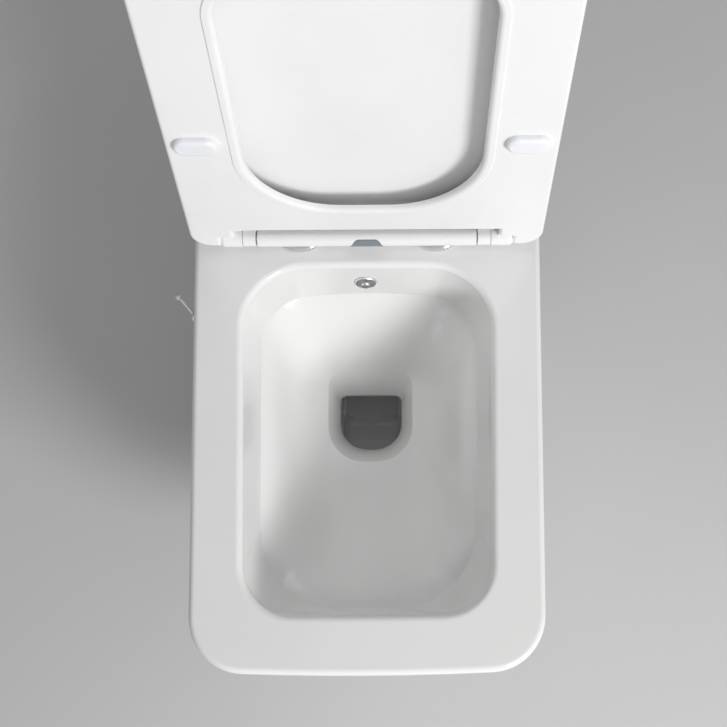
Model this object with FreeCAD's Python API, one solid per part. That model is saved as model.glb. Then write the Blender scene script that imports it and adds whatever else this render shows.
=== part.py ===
import FreeCAD, Part
import math
import os

os.makedirs("parts", exist_ok=True)
V = FreeCAD.Vector

# Driving sizes in mm. The wall is y = 0, the front is -y, and z = 0 is the height of the wall studs.

# Outside of the pan
rim_z = 80.0              # top of the rim above the studs
pan_height = 352.0
pan_length = 510.0
half_at_wall = 186.0      # half width of the rim at the wall
half_at_front = 164.5     # half width where the sides would meet the front
pan_corner = 54.0
front_bow = 4.5
upright = 50.0            # straight part of the outside below the rim
foot_length = 270.0       # flat underside, from the wall
foot_half = 133.0         # half width of the underside at the wall
foot_round = 12.0
ceramic = 12.0            # thickness of the outside
floor_extra = 2.0         # added to it at the underside
rim_thickness = 16.0
flange = 16.0             # thickness of the back plate on the wall
outer_round = 6.0         # rounding of the rim outside
inner_round = 7.0         # rounding of the rim towards the bowl

# Bowl
bowl_back = 106.0         # back of the bowl from the wall
rim_front = 54.0          # width of the rim at the front
bowl_half_back = 130.0
bowl_half_front = 116.0
bowl_wall = 11.0
slope_extra = 3.0         # added to it under the slope
lip_depth = 8.0
shelf_depth = 66.0        # line where the upright band turns into the slope
shelf_in = 4.5            # lean of the band at the back
overhang = 5.0            # lip of the shelf over the flush slot
ledge_down = 7.0          # height of the rounding under the shelf
ledge_in = 6.0
sump_depth = 172.0        # top of the well in the bottom of the bowl
well_depth = 42.0         # height of its sloping sides
sump_back = 186.0         # well from the wall
sump_front = 254.5
sump_half = 37.5
well_wide = 12.2          # how far the top of the well is wider than its bottom, at the sides
well_wide_back = 18.5
well_wide_front = 23.18
well_taper = 1.0          # the well is that much narrower at its front
well_flat = 5.0           # half of the straight part at the front of the well
well_corner = 8.0         # corner at the back of the well, at its bottom
well_corner_grow = 10.0   # larger corners at its top
pit_round = 9.0

# Trap, waste spigot and flush channel
trap_r = 34.0             # inside of the trap
trap_wall = 10.0
trap_low = -222.0         # centre of the lowest bend
trap_foot = 23.0          # level run behind the well
bend_run = 27.0           # middle run of each bend
climb_angle = 50.0        # steepness of the rising run
throat_in = 1.0           # the throat is that much narrower than the well on each side
throat_ahead = 6.0
throat_down = 4.0
throat_thin = 2.0         # its wall is that much thinner than the trap's
waste_z = -100.0
waste_r = 51.0            # outside of the waste spigot
waste_wall = 7.0
waste_long = 46.0
waste_bore_long = 40.0
inlet_z = 35.0
inlet_r = 27.5
channel_front = 48.0      # flush channel from the wall
channel_rear = 30.0
channel_wall = 9.0
slot_half = 40.0
slot_high = 3.5
slot_cover = 1.0          # from the front of the slot to the face of the band

# Fixing to the wall
stud_spacing = 180.0
stud_hole_r = 10.0
sleeve_hole_r = 6.5
sleeve_head_r = 15.0
sleeve_head = 3.0
upper_window_in = 22.0    # openings in the back plate beside the studs
upper_window_low = -28.0
upper_window_down = 24.0
upper_window_r = 12.0
lower_window_gap = 15.0   # openings beside the waste spigot
lower_window_wide = 60.0
lower_window_low = -185.0
lower_window_top = -50.0
lower_window_r = 14.0

# Hinge
hinge_y = -80.0
axis_up = 14.0            # hinge axis above the rim
bar_half = 113.6
bar_r = 8.5
bar_flat = 0.5            # depth of the flat under the bar
bar_round = 0.8
base_clear = 0.3          # between the flat and the hinge bases
post_x = 72.0
post_up = 5.5             # top of the posts above the axis
post_room = 0.5           # space over them
base_long = 20.0          # half length and half width of the oval hinge bases
base_wide = 8.8
base_edge = 1.0           # chamfer of the bases and the posts
gasket_high = 1.0
gasket_in_long = 1.0      # gaskets smaller than the bases
gasket_in_wide = 0.6
post_r = 5.0
pin_r = 4.0
pin_hold = 14.0           # length of the pins in the dampers
pin_short = 2.0           # from their ends to the outside of the knuckles
pin_edge = 0.6
damper_r = 6.4
damper_gap = 4.0          # from the posts
fit = 0.05                # running clearance of the hinge and the valve
ear_gap = 1.6             # between the bar and the lid ears
ear_wide = 13.2
ear_in_r = 0.5            # ears smaller than the bar
ear_behind = 3.0
ear_deep = 4.0            # ears into the lid
knuckle_gap = 0.5         # between the lid ears and the seat knuckles
knuckle_wide = 23.1
knuckle_round = 5.0
knuckle_end = 1.0         # closed end of the knuckles
bush_r = 5.8
bush_end = 0.8            # closed end of the seat bushes
shank_r = 4.0             # threaded part of the hinge posts
deck_hole_r = 7.0
plug_r = 11.0
plug_long = 24.0
nut_flats = 17.0
nut_high = 8.0
nut_spare = 4.0           # shank past the nut

# Release button in the bar
button_low_half = 18.8
button_top_half = 12.0
button_down = 5.5         # below and above the axis
button_up = 6.6
button_corner = 6.0
button_clear = 0.35
button_proud = 0.3        # button in front of the bar
button_rear_in = 2.0      # back of the button in front of the axis
pocket_behind = 1.2       # back of its pocket behind the axis
leaf = 0.6                # leaf spring
leaf_half = 11.0
leaf_high = 5.0
leaf_down = 3.0

# Seat
seat_gap = 7.0            # seat above the rim
seat_thick = 19.0
seat_in = 1.0             # seat inside the edge of the pan
seat_behind = 3.5         # back of the seat behind the axis
seat_corner = 22.0
seat_top_round = 5.0
seat_low_round = 3.5
open_angle = 95.5         # from closed to the raised position
seat_hole_back = 66.5     # from the hinge axis
seat_front = 58.0         # width of the seat in front of its opening
seat_hole_half = 110.5
seat_hole_taper = 6.0
seat_hole_round = 4.5
seat_edge = 6.5           # thickness of the seat at its opening, with the lip
lip = 1.2                 # bead under the seat round its opening
lip_wide = 9.0
lip_round = 1.0
lip_root = 5.0            # bead into the seat
dish = 24.0               # width of the slope round the opening
dish_in = 1.0             # start of the slope inside the opening
notch = 29.0              # depth of the hinge notch from the axis
knuckle_recess = 12.0     # depth of the recess round the knuckles
recess_side = 7.0         # recess past the ears
recess_round = 4.0
shallow_recess = 4.0      # recess over the ends of the knuckles
shallow_side = 1.0        # inside their ends
shallow_round = 3.9
shallow_reach = 6.0       # in front of the bar
buffer_at = 177.0
buffer_x = 146.0
buffer_long = 40.0
buffer_wide = 21.0
buffer_round = 4.0
buffer_clear = 0.4        # above the rim
front_buffer_in = 29.0    # front feet, from the front edge of the seat
front_buffer_x = 92.0

# Lid
lid_gap = 2.0
lid_thick = 14.0
lid_top_round = 5.0
lid_low_round = 3.0
lid_hollow = 5.0          # depth of the hollow under the lid
lid_border = 16.0         # width of the border round it
lid_root = 16.0           # from the hinge axis to the hollow
lid_hollow_corner = 14.0  # corner of the hollow at the back
lid_hollow_round = 4.0
lid_foot_at = 130.0
lid_foot_x = 140.0
lid_foot_r = 6.0
lid_foot_clear = 0.3      # above the seat
lid_foot_edge = 0.6
front_lid_foot_in = 31.0
front_lid_foot_x = 102.0

# Rinse nozzle in the back of the bowl
nozzle_x = -2.5
nozzle_down = 38.0        # centre below the rim
nozzle_sink = 0.4         # seat in the ceramic
nozzle_clear = 0.6
nozzle_r = 12.0
nozzle_seal_high = 0.6
nozzle_seal_in = 1.0      # seal smaller than the face
nozzle_face_high = 2.4    # front of the face from the ceramic
nozzle_face_edge = 0.9
nozzle_boss_r = 15.0
nozzle_boss_deep = 13.0
nozzle_hole_r = 7.0
nozzle_tail_r = 6.0
nozzle_tail_long = 26.0
nozzle_nut_flats = 20.0
nozzle_nut_high = 6.0
spray_r = 4.4             # spout in the lower half of the face
spray_down = 4.6
spray_seat = 1.4
spray_high = 4.0
spray_hole_r = 1.0
spray_hole_x = 2.2
spray_hole_floor = 2.0

# Rinse valve in the left side
valve_y = -131.0
valve_z = -2.0
valve_sink = 3.0          # seat in the ceramic
valve_pocket_r = 21.0
valve_hole_r = 11.0
valve_boss_r = 19.0
valve_boss_deep = 14.0
valve_r = 9.0
valve_long = 28.0         # behind the boss
port_r = 6.0
port_in = 9.0             # upper port from the end of the valve
port_up = 17.0
inlet_in = 12.0           # rear port from the end of the valve
inlet_back = 19.0
stem_deep = 12.0
stem_gap = 0.5
valve_seal_high = 1.5
valve_flange_r = 20.0
valve_flange_high = 5.5   # front of the flange from the ceramic
valve_flange_edge = 1.2
valve_nut_flats = 28.0
valve_nut_high = 7.0
hub_r = 6.0
hub_long = 14.0
hub_gap = 0.4
hub_edge = 1.6
lever_r = 1.9
lever_in = 4.5            # root of the pin from the end of the hub
lever_reach = V(-15.0, 15.4, 16.0)   # from the root of the pin to its ball
knob_r = 4.0
knob_sink = 3.0           # from the flat on the pin's end to the middle of the ball

# Pipe to the nozzle and water connection
tube_r = 4.0
tube_bend = 9.0
tube_up = 6.0             # level run above the nozzle
tube_past_post = 30.0
tube_behind = 22.0        # behind the hinge axis
tube_straight = 16.0      # last run to the nozzle
coupling_flats = 16.0
low_coupling_down = 7.0   # coupling nuts on each side of the joint
low_coupling_up = 5.0
end_coupling_on = 4.5
end_coupling_past = 4.0
supply_r = 6.4
supply_pin_r = 5.0
supply_shoulder = 40.0    # from the wall
supply_end = 6.0
supply_nut_on = 8.0
supply_nut_past = 5.0

past = 1.0                # cuts run that far past the faces they open
far = 20.0                # cuts that leave the part on one side
near = 0.01               # tolerance when edges are looked up

X = V(1, 0, 0)
Z = V(0, 0, 1)
O = V(0, 0, 0)
axis_z = rim_z + axis_up
bottom_z = rim_z - pan_height
bowl_front = pan_length - rim_front
seat_reach = pan_length + hinge_y     # from the hinge axis to the front
seat_hole_front = seat_reach - seat_front
front_buffer_at = seat_reach - front_buffer_in
ear_in = bar_half + ear_gap
ear_out = ear_in + ear_wide
knuckle_in = ear_out + knuckle_gap
knuckle_out = knuckle_in + knuckle_wide


# Outlines: a tapered shape with round corners and ends that can bow outwards.

def corner(y_end, out, half_end, slope, radius, bow):
    """Tangent points on the side and the end, with the middle between; out is -1 in front, 1 at the back."""
    q = math.hypot(1, slope)
    if bow > 0:
        big = (half_end ** 2 + bow ** 2) / (2 * bow)
        k = slope * out
        a = half_end - radius * q - k * big
        b = 1 + k * k
        w = (math.sqrt(a * a * k * k - b * (a * a - (big - radius) ** 2)) - a * k) / b
        centre = V(a + k * w, y_end + out * (w - big), 0)
        to_end = (centre - V(0, y_end - out * big, 0)).normalize()
    else:
        cy = y_end - out * radius
        centre = V(half_end + slope * (cy - y_end) - radius * q, cy, 0)
        to_end = V(0, out, 0)
    to_side = V(1 / q, -slope / q, 0)
    between = (to_side + to_end).normalize()
    return centre + to_side * radius, centre + between * radius, centre + to_end * radius


def mirrored(p):
    return V(-p.x, p.y, p.z)


def across(p, y_end, bow):
    if bow > 0:
        return Part.Arc(p, V(0, y_end, 0), mirrored(p)).toShape()
    return Part.makeLine(p, mirrored(p))


def outline(z, s, grow=0.0):
    """Closed wire of the shape s at height z, grown outwards on every side."""
    slope = (s["half_back"] - s["half_front"]) / (s["back"] - s["front"])
    q = math.hypot(1, slope)
    back = s["back"] + grow
    front = s["front"] - grow
    half_back = s["half_back"] + grow * (q + slope)
    half_front = s["half_front"] + grow * (q - slope)
    bow_back = s.get("bow_back", 0.0)
    bow_front = s.get("bow_front", 0.0)
    side_f, mid_f, end_f = corner(front, -1, half_front, slope, s["r_front"] + grow, bow_front)
    if s["r_back"] > 0:
        side_b, mid_b, end_b = corner(back, 1, half_back, slope, s["r_back"] + grow, bow_back)
    else:
        side_b = end_b = V(half_back, back, 0)
    edges = [Part.makeLine(side_b, side_f),
             Part.Arc(side_f, mid_f, end_f).toShape(),
             across(end_f, front, bow_front),
             Part.Arc(mirrored(end_f), mirrored(mid_f), mirrored(side_f)).toShape(),
             Part.makeLine(mirrored(side_f), mirrored(side_b))]
    if s["r_back"] > 0:
        edges.append(Part.Arc(mirrored(side_b), mirrored(mid_b), mirrored(end_b)).toShape())
    edges.append(across(mirrored(end_b), back, bow_back))
    if s["r_back"] > 0:
        edges.append(Part.Arc(end_b, mid_b, side_b).toShape())
    wire = Part.Wire(edges)
    wire.translate(V(0, 0, z))
    return wire


def prism(s, z0, z1, grow=0.0):
    return Part.Face(outline(z0, s, grow)).extrude(V(0, 0, z1 - z0))


def loft(rows, grow=0.0, ruled=False):
    return Part.makeLoft([outline(z, s, grow) for z, s in rows], True, ruled)


def box(x0, x1, y0, y1, z0, z1):
    return Part.makeBox(x1 - x0, y1 - y0, z1 - z0, V(x0, y0, z0))


def rod(start, end, r):
    return Part.makeCylinder(r, (end - start).Length, start, end - start)


def hexagon(start, end, flats):
    """Hexagonal prism between two points."""
    axis = (end - start).normalize()
    side = axis.cross(Z)
    if side.Length < near:
        side = V(1, 0, 0)
    side.normalize()
    up = axis.cross(side)
    r = flats / math.sqrt(3)
    angles = [math.radians(60 * i) for i in range(7)]
    points = [start + side * (r * math.cos(a)) + up * (r * math.sin(a)) for a in angles]
    return Part.Face(Part.makePolygon(points)).extrude(end - start)


def edges_at(shape, z, keep=lambda c: True):
    """Edges lying at the height z whose centre passes the test keep."""
    found = []
    for e in shape.Edges:
        level = abs(e.BoundBox.ZMin - z) < near and abs(e.BoundBox.ZMax - z) < near
        if level and keep(e.CenterOfMass):
            found.append(e)
    return found


def edges_near(shape, x):
    """Edges whose centre lies at x along a level axis."""
    return [e for e in shape.Edges if abs(e.CenterOfMass.x - x) < near]


def save(name, shapes):
    shape = shapes if not isinstance(shapes, list) else Part.makeCompound(shapes)
    shape.exportStep("parts/" + name + ".step")


def both(shape):
    """The shape and its mirror image on the other side of x = 0."""
    return [shape, shape.mirror(O, X)]


# Pan: outside body

taper = (half_at_wall - half_at_front) / pan_length
behind = 10.0             # the outside is drawn past the wall and cut off there


def pan_shape(side_in, front_in, radius):
    return {"back": behind, "front": -(pan_length - front_in),
            "half_back": half_at_wall - side_in + taper * behind,
            "half_front": half_at_front - side_in + taper * front_in,
            "r_back": 0.0, "r_front": radius, "bow_front": front_bow}


# Shares of the height below the upright part and of the draw-in of sides and front, then corner radius
stations = [(0.0, 0.0, 0.0, 1.0), (0.1, 0.01, 0.008, 1.02), (0.265, 0.057, 0.05, 1.1), (0.5, 0.208, 0.2, 1.3),
            (0.73, 0.51, 0.48, 1.5), (0.89, 0.774, 0.758, 1.5), (1.0, 1.0, 1.0, 1.4)]
upright_z = rim_z - upright
side_draw = half_at_wall - foot_half
front_draw = pan_length - foot_length
outside = [(upright_z - down * (pan_height - upright),
            pan_shape(side * side_draw, front * front_draw, pan_corner * radius))
           for down, side, front, radius in stations]
rim_shape = outside[0][1]
wall_space = box(-2 * half_at_wall, 2 * half_at_wall, 0, 2 * behind, bottom_z - past, rim_z + past)
body = prism(rim_shape, upright_z, rim_z).fuse(loft(outside)).cut(wall_space)
body = body.makeFillet(outer_round, edges_at(body, rim_z, lambda c: c.y < -past))
body = body.makeFillet(foot_round, edges_at(body, bottom_z, lambda c: c.y < -past))

# Bowl, from the rim down to the sump
bowl_rim = {"back": -bowl_back, "front": -bowl_front, "half_back": bowl_half_back,
            "half_front": bowl_half_front, "r_back": 64.0, "r_front": 48.0, "bow_back": 3.0, "bow_front": 1.5}


def bowl_shape(back_in, front_in, half_back_in, half_front_in, r_back, r_front, bow_back, bow_front):
    """Shape of the bowl drawn in from its edge at the rim."""
    return {"back": -bowl_back - back_in, "front": -bowl_front + front_in,
            "half_back": bowl_half_back - half_back_in, "half_front": bowl_half_front - half_front_in,
            "r_back": r_back, "r_front": r_front, "bow_back": bow_back, "bow_front": bow_front}


shelf = bowl_shape(back_in=shelf_in, front_in=10.0, half_back_in=12.0, half_front_in=8.0,
                   r_back=56.0, r_front=80.0, bow_back=10.0, bow_front=1.5)
side_slope = (shelf["half_back"] - shelf["half_front"]) / (shelf["back"] - shelf["front"])
slope_top = dict(shelf, back=shelf["back"] + overhang,
                 half_back=shelf["half_back"] + side_slope * overhang)
ledge = bowl_shape(back_in=shelf_in + ledge_in - overhang, front_in=20.0, half_back_in=17.5,
                   half_front_in=14.5, r_back=54.0, r_front=78.0, bow_back=9.0, bow_front=2.0)
upper = bowl_shape(back_in=28.0, front_in=57.0, half_back_in=33.0, half_front_in=29.0,
                   r_back=50.0, r_front=74.0, bow_back=7.0, bow_front=4.0)
middle = bowl_shape(back_in=48.0, front_in=105.0, half_back_in=51.0, half_front_in=46.0,
                    r_back=40.0, r_front=62.0, bow_back=5.0, bow_front=6.0)
upper_share = 0.365       # heights of these two as shares of the slope
middle_share = 0.72


def well_shape(share):
    """Shape of the well: share 0 at its bottom, 1 at its top."""
    wide = sump_half + well_wide * share
    return {"back": -sump_back + well_wide_back * share, "front": -sump_front - well_wide_front * share,
            "half_back": wide, "half_front": wide - well_taper,
            "r_back": well_corner + well_corner_grow * share,
            "r_front": sump_half - well_flat + well_corner_grow * share,
            "bow_back": 1.0 + share, "bow_front": 1.5 + share}


ring = well_shape(1.0)
neck = well_shape(0.0)
waist = well_shape(0.42)  # half-way down the sides, which are hollow
lip_z = rim_z - lip_depth
shelf_z = rim_z - shelf_depth
ring_z = rim_z - sump_depth
neck_z = ring_z - well_depth
pit_floor = trap_low - trap_r


def on_slope(share):
    return shelf_z + (ring_z - shelf_z) * share


def on_bowl_edge(c):
    back_end = -bowl_back + bowl_rim["bow_back"]
    return abs(c.x) < bowl_half_back + past and -bowl_front - past < c.y < back_end + past


body = body.cut(prism(bowl_rim, lip_z, rim_z + past))
body = body.makeFillet(inner_round, edges_at(body, rim_z, on_bowl_edge))

band_rows = [(lip_z, bowl_rim), (shelf_z, shelf)]
slope_rows = [(shelf_z, slope_top), (shelf_z - ledge_down, ledge), (on_slope(upper_share), upper),
              (on_slope(middle_share), middle), (ring_z, ring)]
sump_rows = [(ring_z, ring), (ring_z - well_depth / 2, waist), (neck_z, neck)]
band = loft(band_rows, ruled=True)
slope_cut = loft(slope_rows)
pit = prism(neck, pit_floor, neck_z)
pit = pit.makeFillet(pit_round, edges_at(pit, pit_floor))

# Trap: back from the well, up over the weir and out at the back, in straight runs with mitred bends
trap_start = -(sump_back + sump_front) / 2
climb = math.radians(climb_angle)
foot_y = -sump_back + trap_foot
slant = (waste_z - trap_low - 2 * bend_run * math.sin(climb / 2)) / math.sin(climb)
knee = V(0, foot_y, trap_low) + V(0, math.cos(climb / 2), math.sin(climb / 2)) * bend_run
crest = knee + V(0, math.cos(climb), math.sin(climb)) * slant
weir = crest + V(0, math.cos(climb / 2), math.sin(climb / 2)) * bend_run
trap_points = [V(0, trap_start, trap_low), V(0, foot_y, trap_low), knee, crest, weir, V(0, past, waste_z)]
oval_least = 0.001        # keeps the upright axis of each ring the longer one


def trap(r):
    """Pipe of radius r along the trap, lofted through the rings at its mitres."""
    rings = []
    for k, here in enumerate(trap_points):
        before = trap_points[max(k - 1, 0)]
        after = trap_points[min(k + 1, len(trap_points) - 1)]
        go_in = (here - before).normalize() if k > 0 else (after - here).normalize()
        go_out = (after - here).normalize() if k < len(trap_points) - 1 else go_in
        middle_line = (go_in + go_out).normalize()
        tall = max(r / go_in.dot(middle_line), r + oval_least)
        ring_line = Part.Ellipse(here + X.cross(middle_line) * tall, here + X * r, here)
        rings.append(Part.Wire([ring_line.toShape()]))
    return Part.makeLoft(rings, True, True)


def throat(grow):
    """Opening from the back of the well into the trap, under the edge of the well."""
    half = sump_half - throat_in + grow
    front = -sump_back - throat_ahead
    rear = foot_y + grow
    top = neck_z - throat_down + grow
    points = [V(-half, front, top), V(-half, -sump_back, top), V(-half, rear, trap_low + trap_r + grow),
              V(-half, rear, trap_low), V(-half, front, trap_low)]
    return Part.Face(Part.makePolygon(points + points[:1])).extrude(V(2 * half, 0, 0))


spigot = rod(V(0, -waste_long, waste_z), V(0, 0, waste_z), waste_r)
spigot_bore = rod(V(0, -waste_bore_long, waste_z), V(0, past, waste_z), waste_r - waste_wall)

# Flush channel: inlet, drop behind the bowl and slot under the band
slot_top = shelf_z
slot_low = slot_top - slot_high
slot_front = -bowl_back - shelf_in + slot_cover
skin_front = -channel_front - channel_wall
skin_half = inlet_r + channel_wall
channel = rod(V(0, past, inlet_z), V(0, -channel_front, inlet_z), inlet_r)
channel = channel.fuse(box(-inlet_r, inlet_r, -channel_front, -channel_rear, slot_low, inlet_z))
channel = channel.fuse(box(-slot_half, slot_half, slot_front, -channel_rear, slot_low, slot_top))
channel_skin = [rod(V(0, 0, inlet_z), V(0, skin_front, inlet_z), skin_half),
                box(-skin_half, skin_half, skin_front, 0, slot_low - channel_wall, inlet_z),
                box(-slot_half - channel_wall, slot_half + channel_wall, slot_front,
                    channel_wall - channel_rear, slot_low - channel_wall, slot_top + channel_wall)]

# Rinse nozzle and valve seats in the ceramic
tilt = math.atan2(shelf_in, shelf_depth - lip_depth)
nozzle_z = rim_z - nozzle_down
nozzle_y = -bowl_back - (lip_z - nozzle_z) * math.tan(tilt)
nozzle_axis = V(0, -math.cos(tilt), math.sin(tilt))
nozzle_at = V(nozzle_x, nozzle_y, nozzle_z) - nozzle_axis * nozzle_sink


def along(depth):
    """Point behind the seat of the nozzle."""
    return nozzle_at - nozzle_axis * depth


def valve_line(x0, x1, r):
    return rod(V(x0, valve_y, valve_z), V(x1, valve_y, valve_z), r)


nozzle_boss = rod(nozzle_at, along(nozzle_boss_deep), nozzle_boss_r)
valve_wall = half_at_wall + taper * valve_y
valve_face = -valve_wall + valve_sink
valve_seat = valve_face + valve_boss_deep
valve_boss = valve_line(valve_face - past, valve_seat, valve_boss_r)

# Hollow between the bowl and the outside
under_deck = rim_z - rim_thickness
inside = [(z, dict(s, back=ceramic - flange)) for z, s in [(rim_z, rim_shape)] + outside]
hollow = loft(inside, -ceramic, True)
hollow = hollow.common(box(-half_at_wall, half_at_wall, -pan_length, -flange,
                           bottom_z + ceramic + floor_extra, under_deck))
bowl_skin = [prism(bowl_rim, lip_z, rim_z, bowl_wall), loft(band_rows, bowl_wall, True),
             loft(slope_rows, bowl_wall + slope_extra, True), loft(sump_rows, bowl_wall, True),
             prism(neck, pit_floor - trap_wall, neck_z, bowl_wall), throat(trap_wall - throat_thin),
             trap(trap_r + trap_wall), spigot]
for skin in bowl_skin + channel_skin + [nozzle_boss, valve_boss]:
    hollow = hollow.cut(skin)
body = body.cut(hollow)
for space in [loft(sump_rows), pit, throat(0), trap(trap_r), spigot_bore, channel, slope_cut, band]:
    body = body.cut(space)


def window(x0, x1, z0, z1, r):
    """Opening with round corners through the back plate."""
    hole = box(x0, x1, -flange - past, past, z0, z1)
    return hole.makeFillet(r, [e for e in hole.Edges if e.BoundBox.YLength > flange])


stud_x = stud_spacing / 2
upper_window = window(stud_x + upper_window_in, half_at_wall - upper_window_in,
                      upper_window_low, rim_z - upper_window_down, upper_window_r)
lower_window = window(waste_r + lower_window_gap, waste_r + lower_window_gap + lower_window_wide,
                      lower_window_low, lower_window_top, lower_window_r)
stud_hole = rod(V(stud_x, past, 0), V(stud_x, -flange - past, 0), stud_hole_r)
deck_hole = rod(V(post_x, hinge_y, rim_z + past), V(post_x, hinge_y, under_deck - past), deck_hole_r)
for hole in both(upper_window) + both(lower_window) + both(stud_hole) + both(deck_hole):
    body = body.cut(hole)
body = body.cut(rod(nozzle_at, along(-nozzle_sink - lip_depth), nozzle_r + nozzle_clear))
body = body.cut(rod(along(-past), along(nozzle_boss_deep + past), nozzle_hole_r))
body = body.cut(valve_line(valve_face, valve_face - far, valve_pocket_r))
body = body.cut(valve_line(valve_face - past, valve_seat + past, valve_hole_r))
save("pan", body)

# Wall fixing sleeves
head_y = -flange - sleeve_head
sleeve = rod(V(stud_x, 0, 0), V(stud_x, -flange, 0), stud_hole_r)
sleeve = sleeve.fuse(rod(V(stud_x, -flange, 0), V(stud_x, head_y, 0), sleeve_head_r))
sleeve = sleeve.cut(rod(V(stud_x, past, 0), V(stud_x, head_y - past, 0), sleeve_hole_r))
save("stud_sleeves", both(sleeve))


# Hinge feet on the deck

def oval(cx, cy, a, b, z0, z1):
    ring_wire = Part.Ellipse(V(cx, cy, z0), a, b).toShape()
    return Part.Face(Part.Wire([ring_wire])).extrude(V(0, 0, z1 - z0))


def post_line(z0, z1, r):
    return rod(V(post_x, hinge_y, z0), V(post_x, hinge_y, z1), r)


bar_low = axis_z - bar_r + bar_flat
base_low = rim_z + gasket_high
base_top = bar_low - base_clear
post_top = axis_z + post_up
plug_low = under_deck - plug_long
nut_low = plug_low - nut_high
gasket = oval(post_x, hinge_y, base_long - gasket_in_long, base_wide - gasket_in_wide, rim_z, base_low)
gasket = gasket.cut(post_line(rim_z, base_low, shank_r))
base = oval(post_x, hinge_y, base_long, base_wide, base_low, base_top)
base = base.makeChamfer(base_edge, edges_at(base, base_top))
base = base.cut(post_line(rim_z, base_top + past, shank_r))
stud = post_line(base_top, post_top, post_r)
stud = stud.makeChamfer(base_edge, edges_at(stud, post_top))
stud = stud.fuse(post_line(nut_low - nut_spare, base_top, shank_r)).removeSplitter()
plug = post_line(plug_low, under_deck, plug_r).fuse(post_line(under_deck, rim_z, deck_hole_r))
plug = plug.cut(post_line(plug_low, rim_z, shank_r))
nut = hexagon(V(post_x, hinge_y, nut_low), V(post_x, hinge_y, plug_low), nut_flats)
nut = nut.cut(post_line(nut_low - past, plug_low + past, shank_r))
save("base_gaskets", both(gasket))
save("hinge_bases", both(base))
save("hinge_studs", both(stud))
save("fixing_plugs", both(plug))
save("fixing_nuts", both(nut))


# Hinge bar with its button, spring, dampers and pins

def on_axis(x0, x1, r):
    return rod(V(x0, hinge_y, axis_z), V(x1, hinge_y, axis_z), r)


def button_block(clear, y_rear):
    """Trapezoid with round upper corners, from in front of the bar to y_rear."""
    low = button_low_half + clear
    top = button_top_half + clear
    z0 = axis_z - button_down - clear
    z1 = axis_z + button_up + clear
    y0 = hinge_y - bar_r - 2 * past
    points = [V(-low, y0, z0), V(low, y0, z0), V(top, y0, z1), V(-top, y0, z1), V(-low, y0, z0)]
    block = Part.Face(Part.makePolygon(points)).extrude(V(0, y_rear - y0, 0))
    round_edges = [e for e in block.Edges if e.BoundBox.YLength > past and e.CenterOfMass.z > axis_z]
    return block.makeFillet(button_corner + clear, round_edges)


button_rear = hinge_y - button_rear_in
pocket_rear = hinge_y + pocket_behind
damper_in = post_x + post_r + damper_gap
bar = on_axis(-bar_half, bar_half, bar_r)
bar = bar.makeFillet(bar_round, edges_near(bar, -bar_half) + edges_near(bar, bar_half))
bar = bar.cut(box(-bar_half - past, bar_half + past, hinge_y - far, hinge_y + far, axis_z - far, bar_low))
bar = bar.cut(button_block(button_clear, pocket_rear))
damper_space = on_axis(damper_in, bar_half + past, damper_r)
post_space = post_line(bar_low - past, post_top + post_room, post_r + fit)
for hole in both(damper_space) + both(post_space):
    bar = bar.cut(hole)
save("hinge_bar", bar)
button = button_block(0.0, button_rear).common(on_axis(-bar_half, bar_half, bar_r + button_proud))
save("release_button", button)
leaf_front = pocket_rear - leaf
front_left = V(-leaf_half, leaf_front, 0)
front_right = V(leaf_half, leaf_front, 0)
rear_right = V(leaf_half, pocket_rear, 0)
rear_left = V(-leaf_half, pocket_rear, 0)
leaf_wire = Part.Wire([Part.Arc(front_left, V(0, button_rear, 0), front_right).toShape(),
                       Part.makeLine(front_right, rear_right),
                       Part.Arc(rear_right, V(0, button_rear + leaf, 0), rear_left).toShape(),
                       Part.makeLine(rear_left, front_left)])
spring = Part.Face(leaf_wire).extrude(V(0, 0, leaf_high))
spring.translate(V(0, 0, axis_z - leaf_down))
save("release_spring", spring)
pin_in = bar_half - pin_hold
pin_out = knuckle_out - pin_short
damper = on_axis(damper_in, bar_half, damper_r).cut(on_axis(pin_in, bar_half + past, pin_r))
pin = on_axis(pin_in, pin_out, pin_r)
pin = pin.makeChamfer(pin_edge, edges_near(pin, pin_out))
save("lid_damper", damper)
save("seat_damper", damper.mirror(O, X))
save("hinge_pins", both(pin))


# Seat and lid are drawn closed and turned to the raised position about the hinge axis.

def raised(shape):
    turned = shape.copy()
    turned.rotate(V(0, hinge_y, axis_z), X, -open_angle)
    return turned


def seat_half(y):
    return half_at_wall - seat_in + taper * y


seat_rear = hinge_y + seat_behind
seat_end = -pan_length + seat_in
seat_low = rim_z + seat_gap
seat_top = seat_low + seat_thick
bead_low = seat_low - lip
seat_shape = {"back": seat_rear, "front": seat_end, "half_back": seat_half(seat_rear),
              "half_front": seat_half(seat_end), "r_back": seat_corner, "r_front": pan_corner - seat_in,
              "bow_front": front_bow}
hole_shape = {"back": hinge_y - seat_hole_back, "front": hinge_y - seat_hole_front,
              "half_back": seat_hole_half, "half_front": seat_hole_half - seat_hole_taper,
              "r_back": 86.0, "r_front": 40.0, "bow_back": 2.5, "bow_front": 4.0}
seat = prism(seat_shape, seat_low, seat_top)
seat = seat.makeFillet(seat_top_round, edges_at(seat, seat_top))
seat = seat.makeFillet(seat_low_round, edges_at(seat, seat_low))
bead = prism(hole_shape, bead_low, seat_low + lip_root, lip_wide)
bead = bead.makeFillet(lip_round, edges_at(bead, bead_low))
seat = seat.fuse(bead)
slope = [outline(bead_low + seat_edge, hole_shape, -dish_in), outline(seat_top, hole_shape, dish),
         outline(seat_top + past, hole_shape, dish + past)]
seat = seat.cut(Part.makeLoft(slope, True, True))
seat = seat.cut(prism(hole_shape, bead_low - past, seat_top + past))


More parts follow.
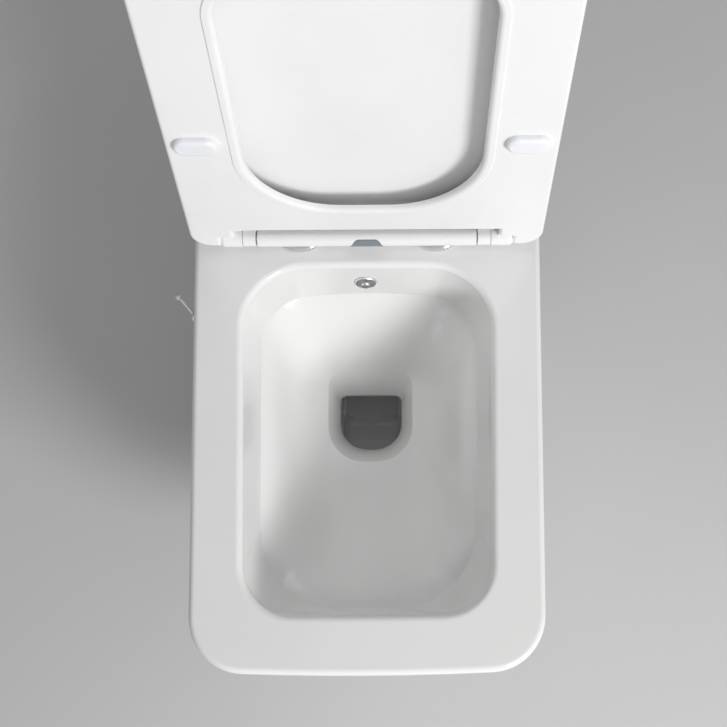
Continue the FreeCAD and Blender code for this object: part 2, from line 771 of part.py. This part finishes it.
def in_hole(b):
    """Whether the box b of an edge lies within the opening of the seat."""
    inside_y = hinge_y - seat_hole_front - past < b.YMin and b.YMax < hinge_y - seat_hole_back + past
    return inside_y and b.XMax < seat_hole_half + past and b.XMin > -seat_hole_half - past


hole_edges = [e for e in edges_at(seat, bead_low) if in_hole(e.BoundBox)]
seat = seat.makeFillet(seat_hole_round, hole_edges)


def recess(half, deep, bend, reach):
    """Space in the underside of the seat with round edges at its ends, up to reach from the axis."""
    wide = half + bend
    mid = half + bend * (1 - math.sqrt(0.5))
    low = seat_low - far
    mid_z = seat_low + mid - half
    bend_z = seat_low + bend
    top = seat_low + deep
    below = Part.makePolygon([V(-wide, 0, seat_low), V(-wide, 0, low), V(wide, 0, low), V(wide, 0, seat_low)])
    right_end = Part.Arc(V(wide, 0, seat_low), V(mid, 0, mid_z), V(half, 0, bend_z)).toShape()
    above = Part.makePolygon([V(half, 0, bend_z), V(half, 0, top), V(-half, 0, top), V(-half, 0, bend_z)])
    left_end = Part.Arc(V(-half, 0, bend_z), V(-mid, 0, mid_z), V(-wide, 0, seat_low)).toShape()
    space = Part.Face(Part.Wire([below, right_end, above, left_end])).extrude(V(0, reach + far, 0))
    space.translate(V(0, hinge_y - reach, 0))
    return space


seat = seat.cut(box(-knuckle_in, knuckle_in, hinge_y - notch, hinge_y + far, seat_low - far, seat_top + far))
seat = seat.cut(recess(knuckle_in + recess_side, knuckle_recess, recess_round, notch))
seat = seat.cut(recess(knuckle_out - shallow_side, shallow_recess, shallow_round, bar_r + shallow_reach))
knuckle = on_axis(knuckle_in, knuckle_out, bar_r)
knuckle = knuckle.makeFillet(knuckle_round, edges_near(knuckle, knuckle_out))
for end in both(knuckle):
    seat = seat.fuse(end)
bush_out = knuckle_out - knuckle_end
for hole in both(on_axis(knuckle_in - past, bush_out, bush_r)):
    seat = seat.cut(hole)
seat = seat.removeSplitter()
save("seat_ring", raised(seat))
seat_bush = on_axis(knuckle_in, bush_out, bush_r)
seat_bush = seat_bush.cut(on_axis(knuckle_in - past, bush_out - bush_end, pin_r + fit))
save("seat_bushes", [raised(b) for b in both(seat_bush)])


def buffer_foot(cx, at):
    """Soft foot with round ends under the seat."""
    low = rim_z + buffer_clear
    r = buffer_wide / 2
    straight = buffer_long / 2 - r
    cy = hinge_y - at
    a = V(cx - straight, cy - r, low)
    b = V(cx + straight, cy - r, low)
    c = V(cx + straight, cy + r, low)
    d = V(cx - straight, cy + r, low)
    wire = Part.Wire([Part.makeLine(a, b), Part.Arc(b, V(cx + straight + r, cy, low), c).toShape(),
                      Part.makeLine(c, d), Part.Arc(d, V(cx - straight - r, cy, low), a).toShape()])
    foot = Part.Face(wire).extrude(V(0, 0, seat_low - low))
    return foot.makeFillet(buffer_round, edges_at(foot, low))


side_foot = buffer_foot(buffer_x, buffer_at)
front_foot = buffer_foot(front_buffer_x, front_buffer_at)
save("seat_buffers", [raised(f) for f in both(side_foot)])
save("front_buffers", [raised(f) for f in both(front_foot)])

# Lid with its ears
lid_low = seat_top + lid_gap
lid_top = lid_low + lid_thick
hollow_top = lid_low + lid_hollow
lid = prism(seat_shape, lid_low, lid_top)
lid = lid.makeFillet(lid_top_round, edges_at(lid, lid_top))
lid = lid.makeFillet(lid_low_round, edges_at(lid, lid_low))
space_shape = dict(seat_shape, back=hinge_y - lid_root + lid_border, r_back=lid_border + lid_hollow_corner)
lid_space = prism(space_shape, lid_low - past, hollow_top, -lid_border)
lid_space = lid_space.makeFillet(lid_hollow_round, edges_at(lid_space, hollow_top))
lid = lid.cut(lid_space)
ear_r = bar_r - ear_in_r
ear_web = box(ear_in, ear_out, hinge_y - ear_r, hinge_y + ear_behind, axis_z, lid_low + ear_deep)
for piece in both(on_axis(ear_in, ear_out, ear_r)) + both(ear_web):
    lid = lid.fuse(piece)
for hole in both(on_axis(ear_in - past, ear_out + past, bush_r)):
    lid = lid.cut(hole)
lid = lid.removeSplitter()
save("lid", raised(lid))
lid_bush = on_axis(ear_in, ear_out, bush_r).cut(on_axis(ear_in - past, ear_out + past, pin_r + fit))
save("lid_bushes", [raised(b) for b in both(lid_bush)])
lid_feet = []
foot_low = seat_top + lid_foot_clear
for cx, at in ((lid_foot_x, lid_foot_at), (front_lid_foot_x, seat_reach - front_lid_foot_in)):
    foot = rod(V(cx, hinge_y - at, foot_low), V(cx, hinge_y - at, hollow_top), lid_foot_r)
    foot = foot.makeChamfer(lid_foot_edge, edges_at(foot, foot_low))
    lid_feet += both(foot)
save("lid_buffers", [raised(f) for f in lid_feet])

# Rinse nozzle: seal, face, spout with two holes, tail and nut
seal = rod(nozzle_at, along(-nozzle_seal_high), nozzle_r - nozzle_seal_in)
seal = seal.cut(rod(along(past), along(-nozzle_seal_high - past), nozzle_tail_r))
face_front = along(-nozzle_face_high)
face = rod(along(-nozzle_seal_high), face_front, nozzle_r)
front_edges = [e for e in face.Edges if (e.CenterOfMass - face_front).Length < near]
face = face.makeChamfer(nozzle_face_edge, front_edges)
spray_at = V(0, -math.sin(tilt), -math.cos(tilt)) * spray_down
spray = rod(along(-spray_seat) + spray_at, along(-spray_high) + spray_at, spray_r)
face = face.cut(rod(along(-spray_seat) + spray_at, along(-spray_high - past) + spray_at, spray_r))
for dx in (-spray_hole_x, spray_hole_x):
    hole_at = spray_at + V(dx, 0, 0)
    hole_end = along(-spray_high - past) + hole_at
    spray = spray.cut(rod(along(-spray_hole_floor) + hole_at, hole_end, spray_hole_r))
tail = rod(along(-nozzle_seal_high), along(nozzle_tail_long), nozzle_tail_r)
nut_front = nozzle_boss_deep
nut_rear = nut_front + nozzle_nut_high
nozzle_nut = hexagon(along(nut_front), along(nut_rear), nozzle_nut_flats)
nozzle_nut = nozzle_nut.cut(rod(along(nut_front - past), along(nut_rear + past), nozzle_tail_r))
save("nozzle_seal", seal)
save("nozzle_face", face)
save("nozzle_insert", spray)
save("nozzle_tail", tail)
save("nozzle_nut", nozzle_nut)

# Rinse valve: body with two ports, seal, flange, nut, hub and lever
flange_out = valve_face - valve_flange_high
valve_end = valve_seat + valve_long
port_x = valve_end - port_in
port_top = valve_z + port_up
inlet_x = valve_end - inlet_in
port_rear = valve_y + inlet_back
stem_end = valve_face + stem_deep
valve = valve_line(flange_out, valve_end, valve_r)
valve = valve.fuse(rod(V(port_x, valve_y, valve_z), V(port_x, valve_y, port_top), port_r))
valve = valve.fuse(rod(V(inlet_x, valve_y, valve_z), V(inlet_x, port_rear, valve_z), port_r))
valve = valve.cut(valve_line(flange_out - past, stem_end, pin_r + fit))
seal_out = valve_face - valve_seal_high
valve_seal = valve_line(valve_face, seal_out, valve_boss_r)
valve_seal = valve_seal.cut(valve_line(valve_face + past, seal_out - past, valve_r))
valve_flange = valve_line(seal_out, flange_out, valve_flange_r)
valve_flange = valve_flange.makeChamfer(valve_flange_edge, edges_near(valve_flange, flange_out))
valve_flange = valve_flange.cut(valve_line(valve_face, flange_out - past, valve_r))
nut_end = valve_seat + valve_nut_high
valve_nut = hexagon(V(valve_seat, valve_y, valve_z), V(nut_end, valve_y, valve_z), valve_nut_flats)
valve_nut = valve_nut.cut(valve_line(valve_seat - past, nut_end + past, valve_r))
hub_in = flange_out - hub_gap
hub_out = hub_in - hub_long
hub = valve_line(hub_in, hub_out, hub_r)
hub = hub.makeChamfer(hub_edge, edges_near(hub, hub_out))
hub = hub.fuse(valve_line(hub_in, stem_end - stem_gap, pin_r)).removeSplitter()
root = V(hub_out + lever_in, valve_y, valve_z)
tip = root + lever_reach
reach_line = (tip - root).normalize()
lever = rod(root, tip, lever_r)
hub = hub.cut(lever)
knob = Part.makeSphere(knob_r, tip + reach_line * knob_sink, reach_line,
                       -math.degrees(math.asin(knob_sink / knob_r)), 90, 360)
save("valve_body", valve)
save("valve_seal", valve_seal)
save("valve_flange", valve_flange)
save("valve_nut", valve_nut)
save("valve_hub", hub)
save("lever_pin", lever)
save("lever_knob", knob)


# Pipe from the valve to the nozzle, with a coupling nut at each end

def bent_wire(points, radius):
    """Straight runs through the points, joined by arcs."""
    edges = []
    last = points[0]
    for before, at, after in zip(points, points[1:], points[2:]):
        to_before = (before - at).normalize()
        to_after = (after - at).normalize()
        half = to_before.getAngle(to_after) / 2
        run = radius / math.tan(half)
        middle_line = (to_before + to_after).normalize()
        mid = at + middle_line * (radius / math.sin(half) - radius)
        edges.append(Part.makeLine(last, at + to_before * run))
        edges.append(Part.Arc(at + to_before * run, mid, at + to_after * run).toShape())
        last = at + to_after * run
    edges.append(Part.makeLine(last, points[-1]))
    return Part.Wire(edges)


tube_start = V(port_x, valve_y, port_top)
tube_end = along(nozzle_tail_long)
tube_high = nozzle_z + tube_up
way = [tube_start, V(port_x, valve_y, tube_high),
       V(-post_x - tube_past_post, hinge_y + tube_behind, tube_high),
       along(nozzle_tail_long + tube_straight), tube_end]
tube_ring = Part.Wire([Part.makeCircle(tube_r, tube_start, Z)])
tube = bent_wire(way, tube_bend).makePipeShell([tube_ring], True, True)
nut_foot = tube_start - Z * low_coupling_down
nut_head = tube_start + Z * low_coupling_up
low_nut = hexagon(nut_foot, nut_head, coupling_flats)
low_nut = low_nut.cut(rod(nut_foot - Z * past, tube_start, port_r))
low_nut = low_nut.cut(rod(tube_start, nut_head + Z * past, tube_r))
nut_near = nozzle_tail_long - end_coupling_on
nut_far = nozzle_tail_long + end_coupling_past
end_nut = hexagon(along(nut_near), along(nut_far), coupling_flats)
end_nut = end_nut.cut(rod(along(nut_near - past), tube_end, nozzle_tail_r))
end_nut = end_nut.cut(rod(along(nozzle_tail_long - past), along(nut_far + past), tube_r))
save("bidet_tube", tube)
save("tube_nuts", [low_nut, end_nut])


# Water connection behind the pan

def supply_line(y0, y1, r):
    return rod(V(inlet_x, y0, valve_z), V(inlet_x, y1, valve_z), r)


nut_on = port_rear - supply_nut_on
nut_past = port_rear + supply_nut_past
supply = supply_line(port_rear, -supply_shoulder, supply_r)
supply = supply.fuse(supply_line(-supply_shoulder, -supply_end, supply_pin_r))
supply_nut = hexagon(V(inlet_x, nut_on, valve_z), V(inlet_x, nut_past, valve_z), coupling_flats)
supply_nut = supply_nut.cut(supply_line(nut_on - past, port_rear, port_r))
supply_nut = supply_nut.cut(supply)
save("supply_tail", supply)
save("supply_nut", supply_nut)
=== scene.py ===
import bpy
import math
from mathutils import Matrix, Vector


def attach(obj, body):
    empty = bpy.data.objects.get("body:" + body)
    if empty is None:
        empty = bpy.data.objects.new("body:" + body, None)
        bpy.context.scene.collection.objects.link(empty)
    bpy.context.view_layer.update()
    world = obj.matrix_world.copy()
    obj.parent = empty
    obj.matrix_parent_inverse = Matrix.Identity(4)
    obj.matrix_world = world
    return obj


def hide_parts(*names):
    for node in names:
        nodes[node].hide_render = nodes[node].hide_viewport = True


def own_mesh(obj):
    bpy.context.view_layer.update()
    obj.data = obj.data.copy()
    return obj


# Metres, in the frame of the CAD: +Z up, the wall at y = 0, the part towards -Y.
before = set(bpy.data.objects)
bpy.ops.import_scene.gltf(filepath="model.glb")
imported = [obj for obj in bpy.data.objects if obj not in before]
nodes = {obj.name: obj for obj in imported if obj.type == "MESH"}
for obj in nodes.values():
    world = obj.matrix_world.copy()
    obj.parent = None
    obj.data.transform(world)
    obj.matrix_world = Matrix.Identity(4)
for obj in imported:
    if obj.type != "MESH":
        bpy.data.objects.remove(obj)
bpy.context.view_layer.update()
scene = bpy.context.scene

# Floor, 400 mm below the rim
floor_z = -0.320
floor_y = -0.25
floor_size = 30.0

# Light: a lamp on the right in front, and a sky that is brighter on that side
key_at = (1.44, -2.18, 1.45)
key_aim = (0, -0.20, 0.10)
key_size = 0.80
key_watts = 55.0
sky_level = 0.385
sky_lean = (0.08, -0.22, 0.0)

# Camera, fitted to the photograph
camera_at = Vector((0.02174, -0.50784, 1.02911))
pitch = math.radians(70.496)   # down from level
roll = math.radians(-0.403)
image = 727                    # side of the picture, in pixels
focal = 982.48                 # in pixels
centre = (388.35, 325.23)      # pixel that the camera's axis goes through
sensor = 36.0                  # millimetres
nearest = 0.01


# Materials

class Finish:
    """A principled material with colour, roughness and bump made from noise."""

    colour_stops = (0.35, 0.65)
    rough_stops = (0.3, 0.7)

    def __init__(self, name, **values):
        self.material = bpy.data.materials.new(name)
        self.material.use_nodes = True
        self.tree = self.material.node_tree
        self.shader = self.tree.nodes["Principled BSDF"]
        self.shader.name = "surface"
        self.coords = self.node("ShaderNodeTexCoord").outputs["Object"]
        for key, value in values.items():
            self.shader.inputs[key.replace("_", " ")].default_value = value

    def node(self, kind, **inputs):
        made = self.tree.nodes.new(kind)
        for key, value in inputs.items():
            made.inputs[key.replace("_", " ")].default_value = value
        return made

    def link(self, source, target):
        self.tree.links.new(source, target)

    def noise(self, scale, detail, rough=0.55, stretch=None):
        source = self.coords
        if stretch:
            mapping = self.node("ShaderNodeMapping", Scale=stretch)
            self.link(source, mapping.inputs["Vector"])
            source = mapping.outputs["Vector"]
        texture = self.node("ShaderNodeTexNoise", Scale=scale, Detail=detail, Roughness=rough)
        self.link(source, texture.inputs["Vector"])
        return texture.outputs["Fac"]

    def colours(self, value, *pair):
        ramp = self.node("ShaderNodeValToRGB")
        stops = ramp.color_ramp.elements
        for stop, position, colour in zip(stops, self.colour_stops, pair):
            stop.position = position
            stop.color = (*colour, 1)
        self.link(value, ramp.inputs["Fac"])
        self.link(ramp.outputs["Color"], self.shader.inputs["Base Color"])

    def roughness(self, value, low, high):
        start, end = self.rough_stops
        spread = self.node("ShaderNodeMapRange", From_Min=start, From_Max=end, To_Min=low, To_Max=high)
        self.link(value, spread.inputs["Value"])
        self.link(spread.outputs["Result"], self.shader.inputs["Roughness"])

    def bump(self, height, strength, distance):
        bump = self.node("ShaderNodeBump", Strength=strength, Distance=distance)
        self.link(height, bump.inputs["Height"])
        self.link(bump.outputs["Normal"], self.shader.inputs["Normal"])


def glaze():
    """White glaze of the pan, under a thin clear coat."""
    f = Finish("white_glaze", Coat_Weight=0.15, Coat_Roughness=0.03, Specular_IOR_Level=0.5)
    f.colours(f.noise(scale=7.0, detail=4.0), (0.815, 0.815, 0.810), (0.842, 0.841, 0.836))
    f.roughness(f.noise(scale=24.0, detail=5.0), low=0.07, high=0.17)
    f.bump(f.noise(scale=90.0, detail=2.0), strength=0.05, distance=0.0006)
    return f.material


def moulded(name, first, second, low, high, grain):
    """Hard plastic with a fine grain."""
    f = Finish(name, Specular_IOR_Level=0.5)
    f.colours(f.noise(scale=11.0, detail=4.0), first, second)
    f.roughness(f.noise(scale=60.0, detail=5.0), low, high)
    f.bump(f.noise(scale=grain, detail=3.0), strength=0.06, distance=0.0003)
    return f.material


def polished(name, first, second, low, high, stretch=(1, 1, 1)):
    """Metal. A stretch along an axis gives turning marks."""
    f = Finish(name, Metallic=1.0)
    f.colours(f.noise(scale=40.0, detail=4.0), first, second)
    f.roughness(f.noise(scale=220.0, detail=5.0, rough=0.6, stretch=stretch), low, high)
    f.bump(f.noise(scale=500.0, detail=3.0, rough=0.6, stretch=stretch), strength=0.05, distance=0.0002)
    return f.material


def soft(name, first, second, low, high):
    """Rubber or soft plastic."""
    f = Finish(name, Subsurface_Weight=0.15, Subsurface_Scale=0.004)
    f.colours(f.noise(scale=60.0, detail=4.0), first, second)
    f.roughness(f.noise(scale=150.0, detail=5.0), low, high)
    f.bump(f.noise(scale=900.0, detail=3.0), strength=0.08, distance=0.0002)
    return f.material


ceramic = glaze()
seat_white = moulded("white_duroplast", (0.845, 0.845, 0.850), (0.870, 0.870, 0.875),
                     low=0.14, high=0.24, grain=700.0)
button_grey = moulded("grey_plastic", (0.200, 0.232, 0.262), (0.228, 0.262, 0.292),
                      low=0.30, high=0.42, grain=1500.0)
natural = moulded("natural_plastic", (0.66, 0.66, 0.64), (0.72, 0.72, 0.70),
                  low=0.35, high=0.5, grain=900.0)
dark_plastic = moulded("dark_plastic", (0.035, 0.036, 0.040), (0.055, 0.056, 0.060),
                       low=0.35, high=0.5, grain=1200.0)
chrome = polished("chrome", (0.74, 0.75, 0.76), (0.80, 0.81, 0.82), low=0.05, high=0.14)
satin = polished("satin_chrome", (0.86, 0.87, 0.88), (0.91, 0.92, 0.93), low=0.26, high=0.36)
steel = polished("turned_steel", (0.50, 0.50, 0.51), (0.60, 0.60, 0.61),
                 low=0.22, high=0.38, stretch=(1, 1, 14))
brass = polished("turned_brass", (0.58, 0.42, 0.19), (0.70, 0.53, 0.26),
                 low=0.22, high=0.36, stretch=(1, 12, 1))
buffer = soft("soft_buffer", (0.835, 0.850, 0.880), (0.860, 0.872, 0.895), low=0.30, high=0.42)
rubber = soft("black_rubber", (0.018, 0.018, 0.018), (0.034, 0.034, 0.033), low=0.55, high=0.75)

finishes = {
    ceramic: ["pan"],
    seat_white: ["seat_ring", "lid", "hinge_bar"],
    button_grey: ["release_button"],
    natural: ["stud_sleeves", "seat_bushes", "lid_bushes"],
    dark_plastic: ["seat_damper", "lid_damper"],
    chrome: ["hinge_bases", "valve_flange", "valve_hub"],
    satin: ["nozzle_face", "nozzle_insert", "lever_pin", "lever_knob"],
    steel: ["hinge_studs", "hinge_pins", "release_spring", "bidet_tube", "supply_tail"],
    brass: ["fixing_nuts", "nozzle_tail", "nozzle_nut", "valve_body", "valve_nut", "tube_nuts",
            "supply_nut"],
    buffer: ["seat_buffers", "front_buffers", "lid_buffers"],
    rubber: ["base_gaskets", "fixing_plugs", "nozzle_seal", "valve_seal"],
}
for finish, names in finishes.items():
    for name in names:
        slots = nodes[name].data.materials
        slots.clear()
        slots.append(finish)

# Leaf spring behind the button, 3.2 mm deep: a copy of release_spring that rides on the hinge unit, and
# the original is hidden
leaf = bpy.data.objects.new("leaf_spring", nodes["release_spring"].data.copy())
scene.collection.objects.link(leaf)
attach(leaf, "hinge_unit")
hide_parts("release_spring")
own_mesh(leaf)

# Floor
bpy.ops.mesh.primitive_plane_add(size=floor_size, location=(0, floor_y, floor_z))
floor = bpy.context.object
floor.name = "floor"
pale = Finish("pale_floor")
pale.colours(pale.noise(scale=1.2, detail=3.0), (0.60, 0.60, 0.60), (0.63, 0.63, 0.63))
pale.roughness(pale.noise(scale=30.0, detail=3.0), low=0.6, high=0.75)
floor.data.materials.append(pale.material)

# Lamp
lamp = bpy.data.lights.new("key", "AREA")
lamp.size = key_size
lamp.energy = key_watts
key = bpy.data.objects.new("key", lamp)
key.location = key_at
key.rotation_euler = (Vector(key_aim) - Vector(key_at)).to_track_quat("-Z", "Y").to_euler()
scene.collection.objects.link(key)

# Sky: its strength is sky_level plus the direction's share of sky_lean
world = bpy.data.worlds.new("studio")
scene.world = world
world.use_nodes = True
tree = world.node_tree
sky = tree.nodes["Background"]
sky.inputs["Color"].default_value = (1, 1, 1, 1)
towards = tree.nodes.new("ShaderNodeTexCoord")
lean = tree.nodes.new("ShaderNodeVectorMath")
lean.operation = "DOT_PRODUCT"
lean.inputs[1].default_value = sky_lean
level = tree.nodes.new("ShaderNodeMath")
level.operation = "ADD"
level.inputs[1].default_value = sky_level
level.use_clamp = True
tree.links.new(towards.outputs["Generated"], lean.inputs[0])
tree.links.new(lean.outputs["Value"], level.inputs[0])
tree.links.new(level.outputs["Value"], sky.inputs["Strength"])

# Camera
right = Vector((1, 0, 0))
ahead = Vector((0, math.cos(pitch), -math.sin(pitch)))
up = right.cross(ahead)
camera_x = right * math.cos(roll) + up * math.sin(roll)
camera_y = up * math.cos(roll) - right * math.sin(roll)
turn = Matrix((camera_x, camera_y, -ahead)).transposed().to_4x4()
camera = bpy.data.objects.new("camera", bpy.data.cameras.new("camera"))
scene.collection.objects.link(camera)
camera.matrix_world = Matrix.Translation(camera_at) @ turn
camera.data.sensor_width = sensor
camera.data.lens = focal * sensor / image
camera.data.shift_x = (image / 2 - centre[0]) / image
camera.data.shift_y = (centre[1] - image / 2) / image
camera.data.clip_start = nearest
scene.camera = camera
scene.view_settings.view_transform = "Standard"
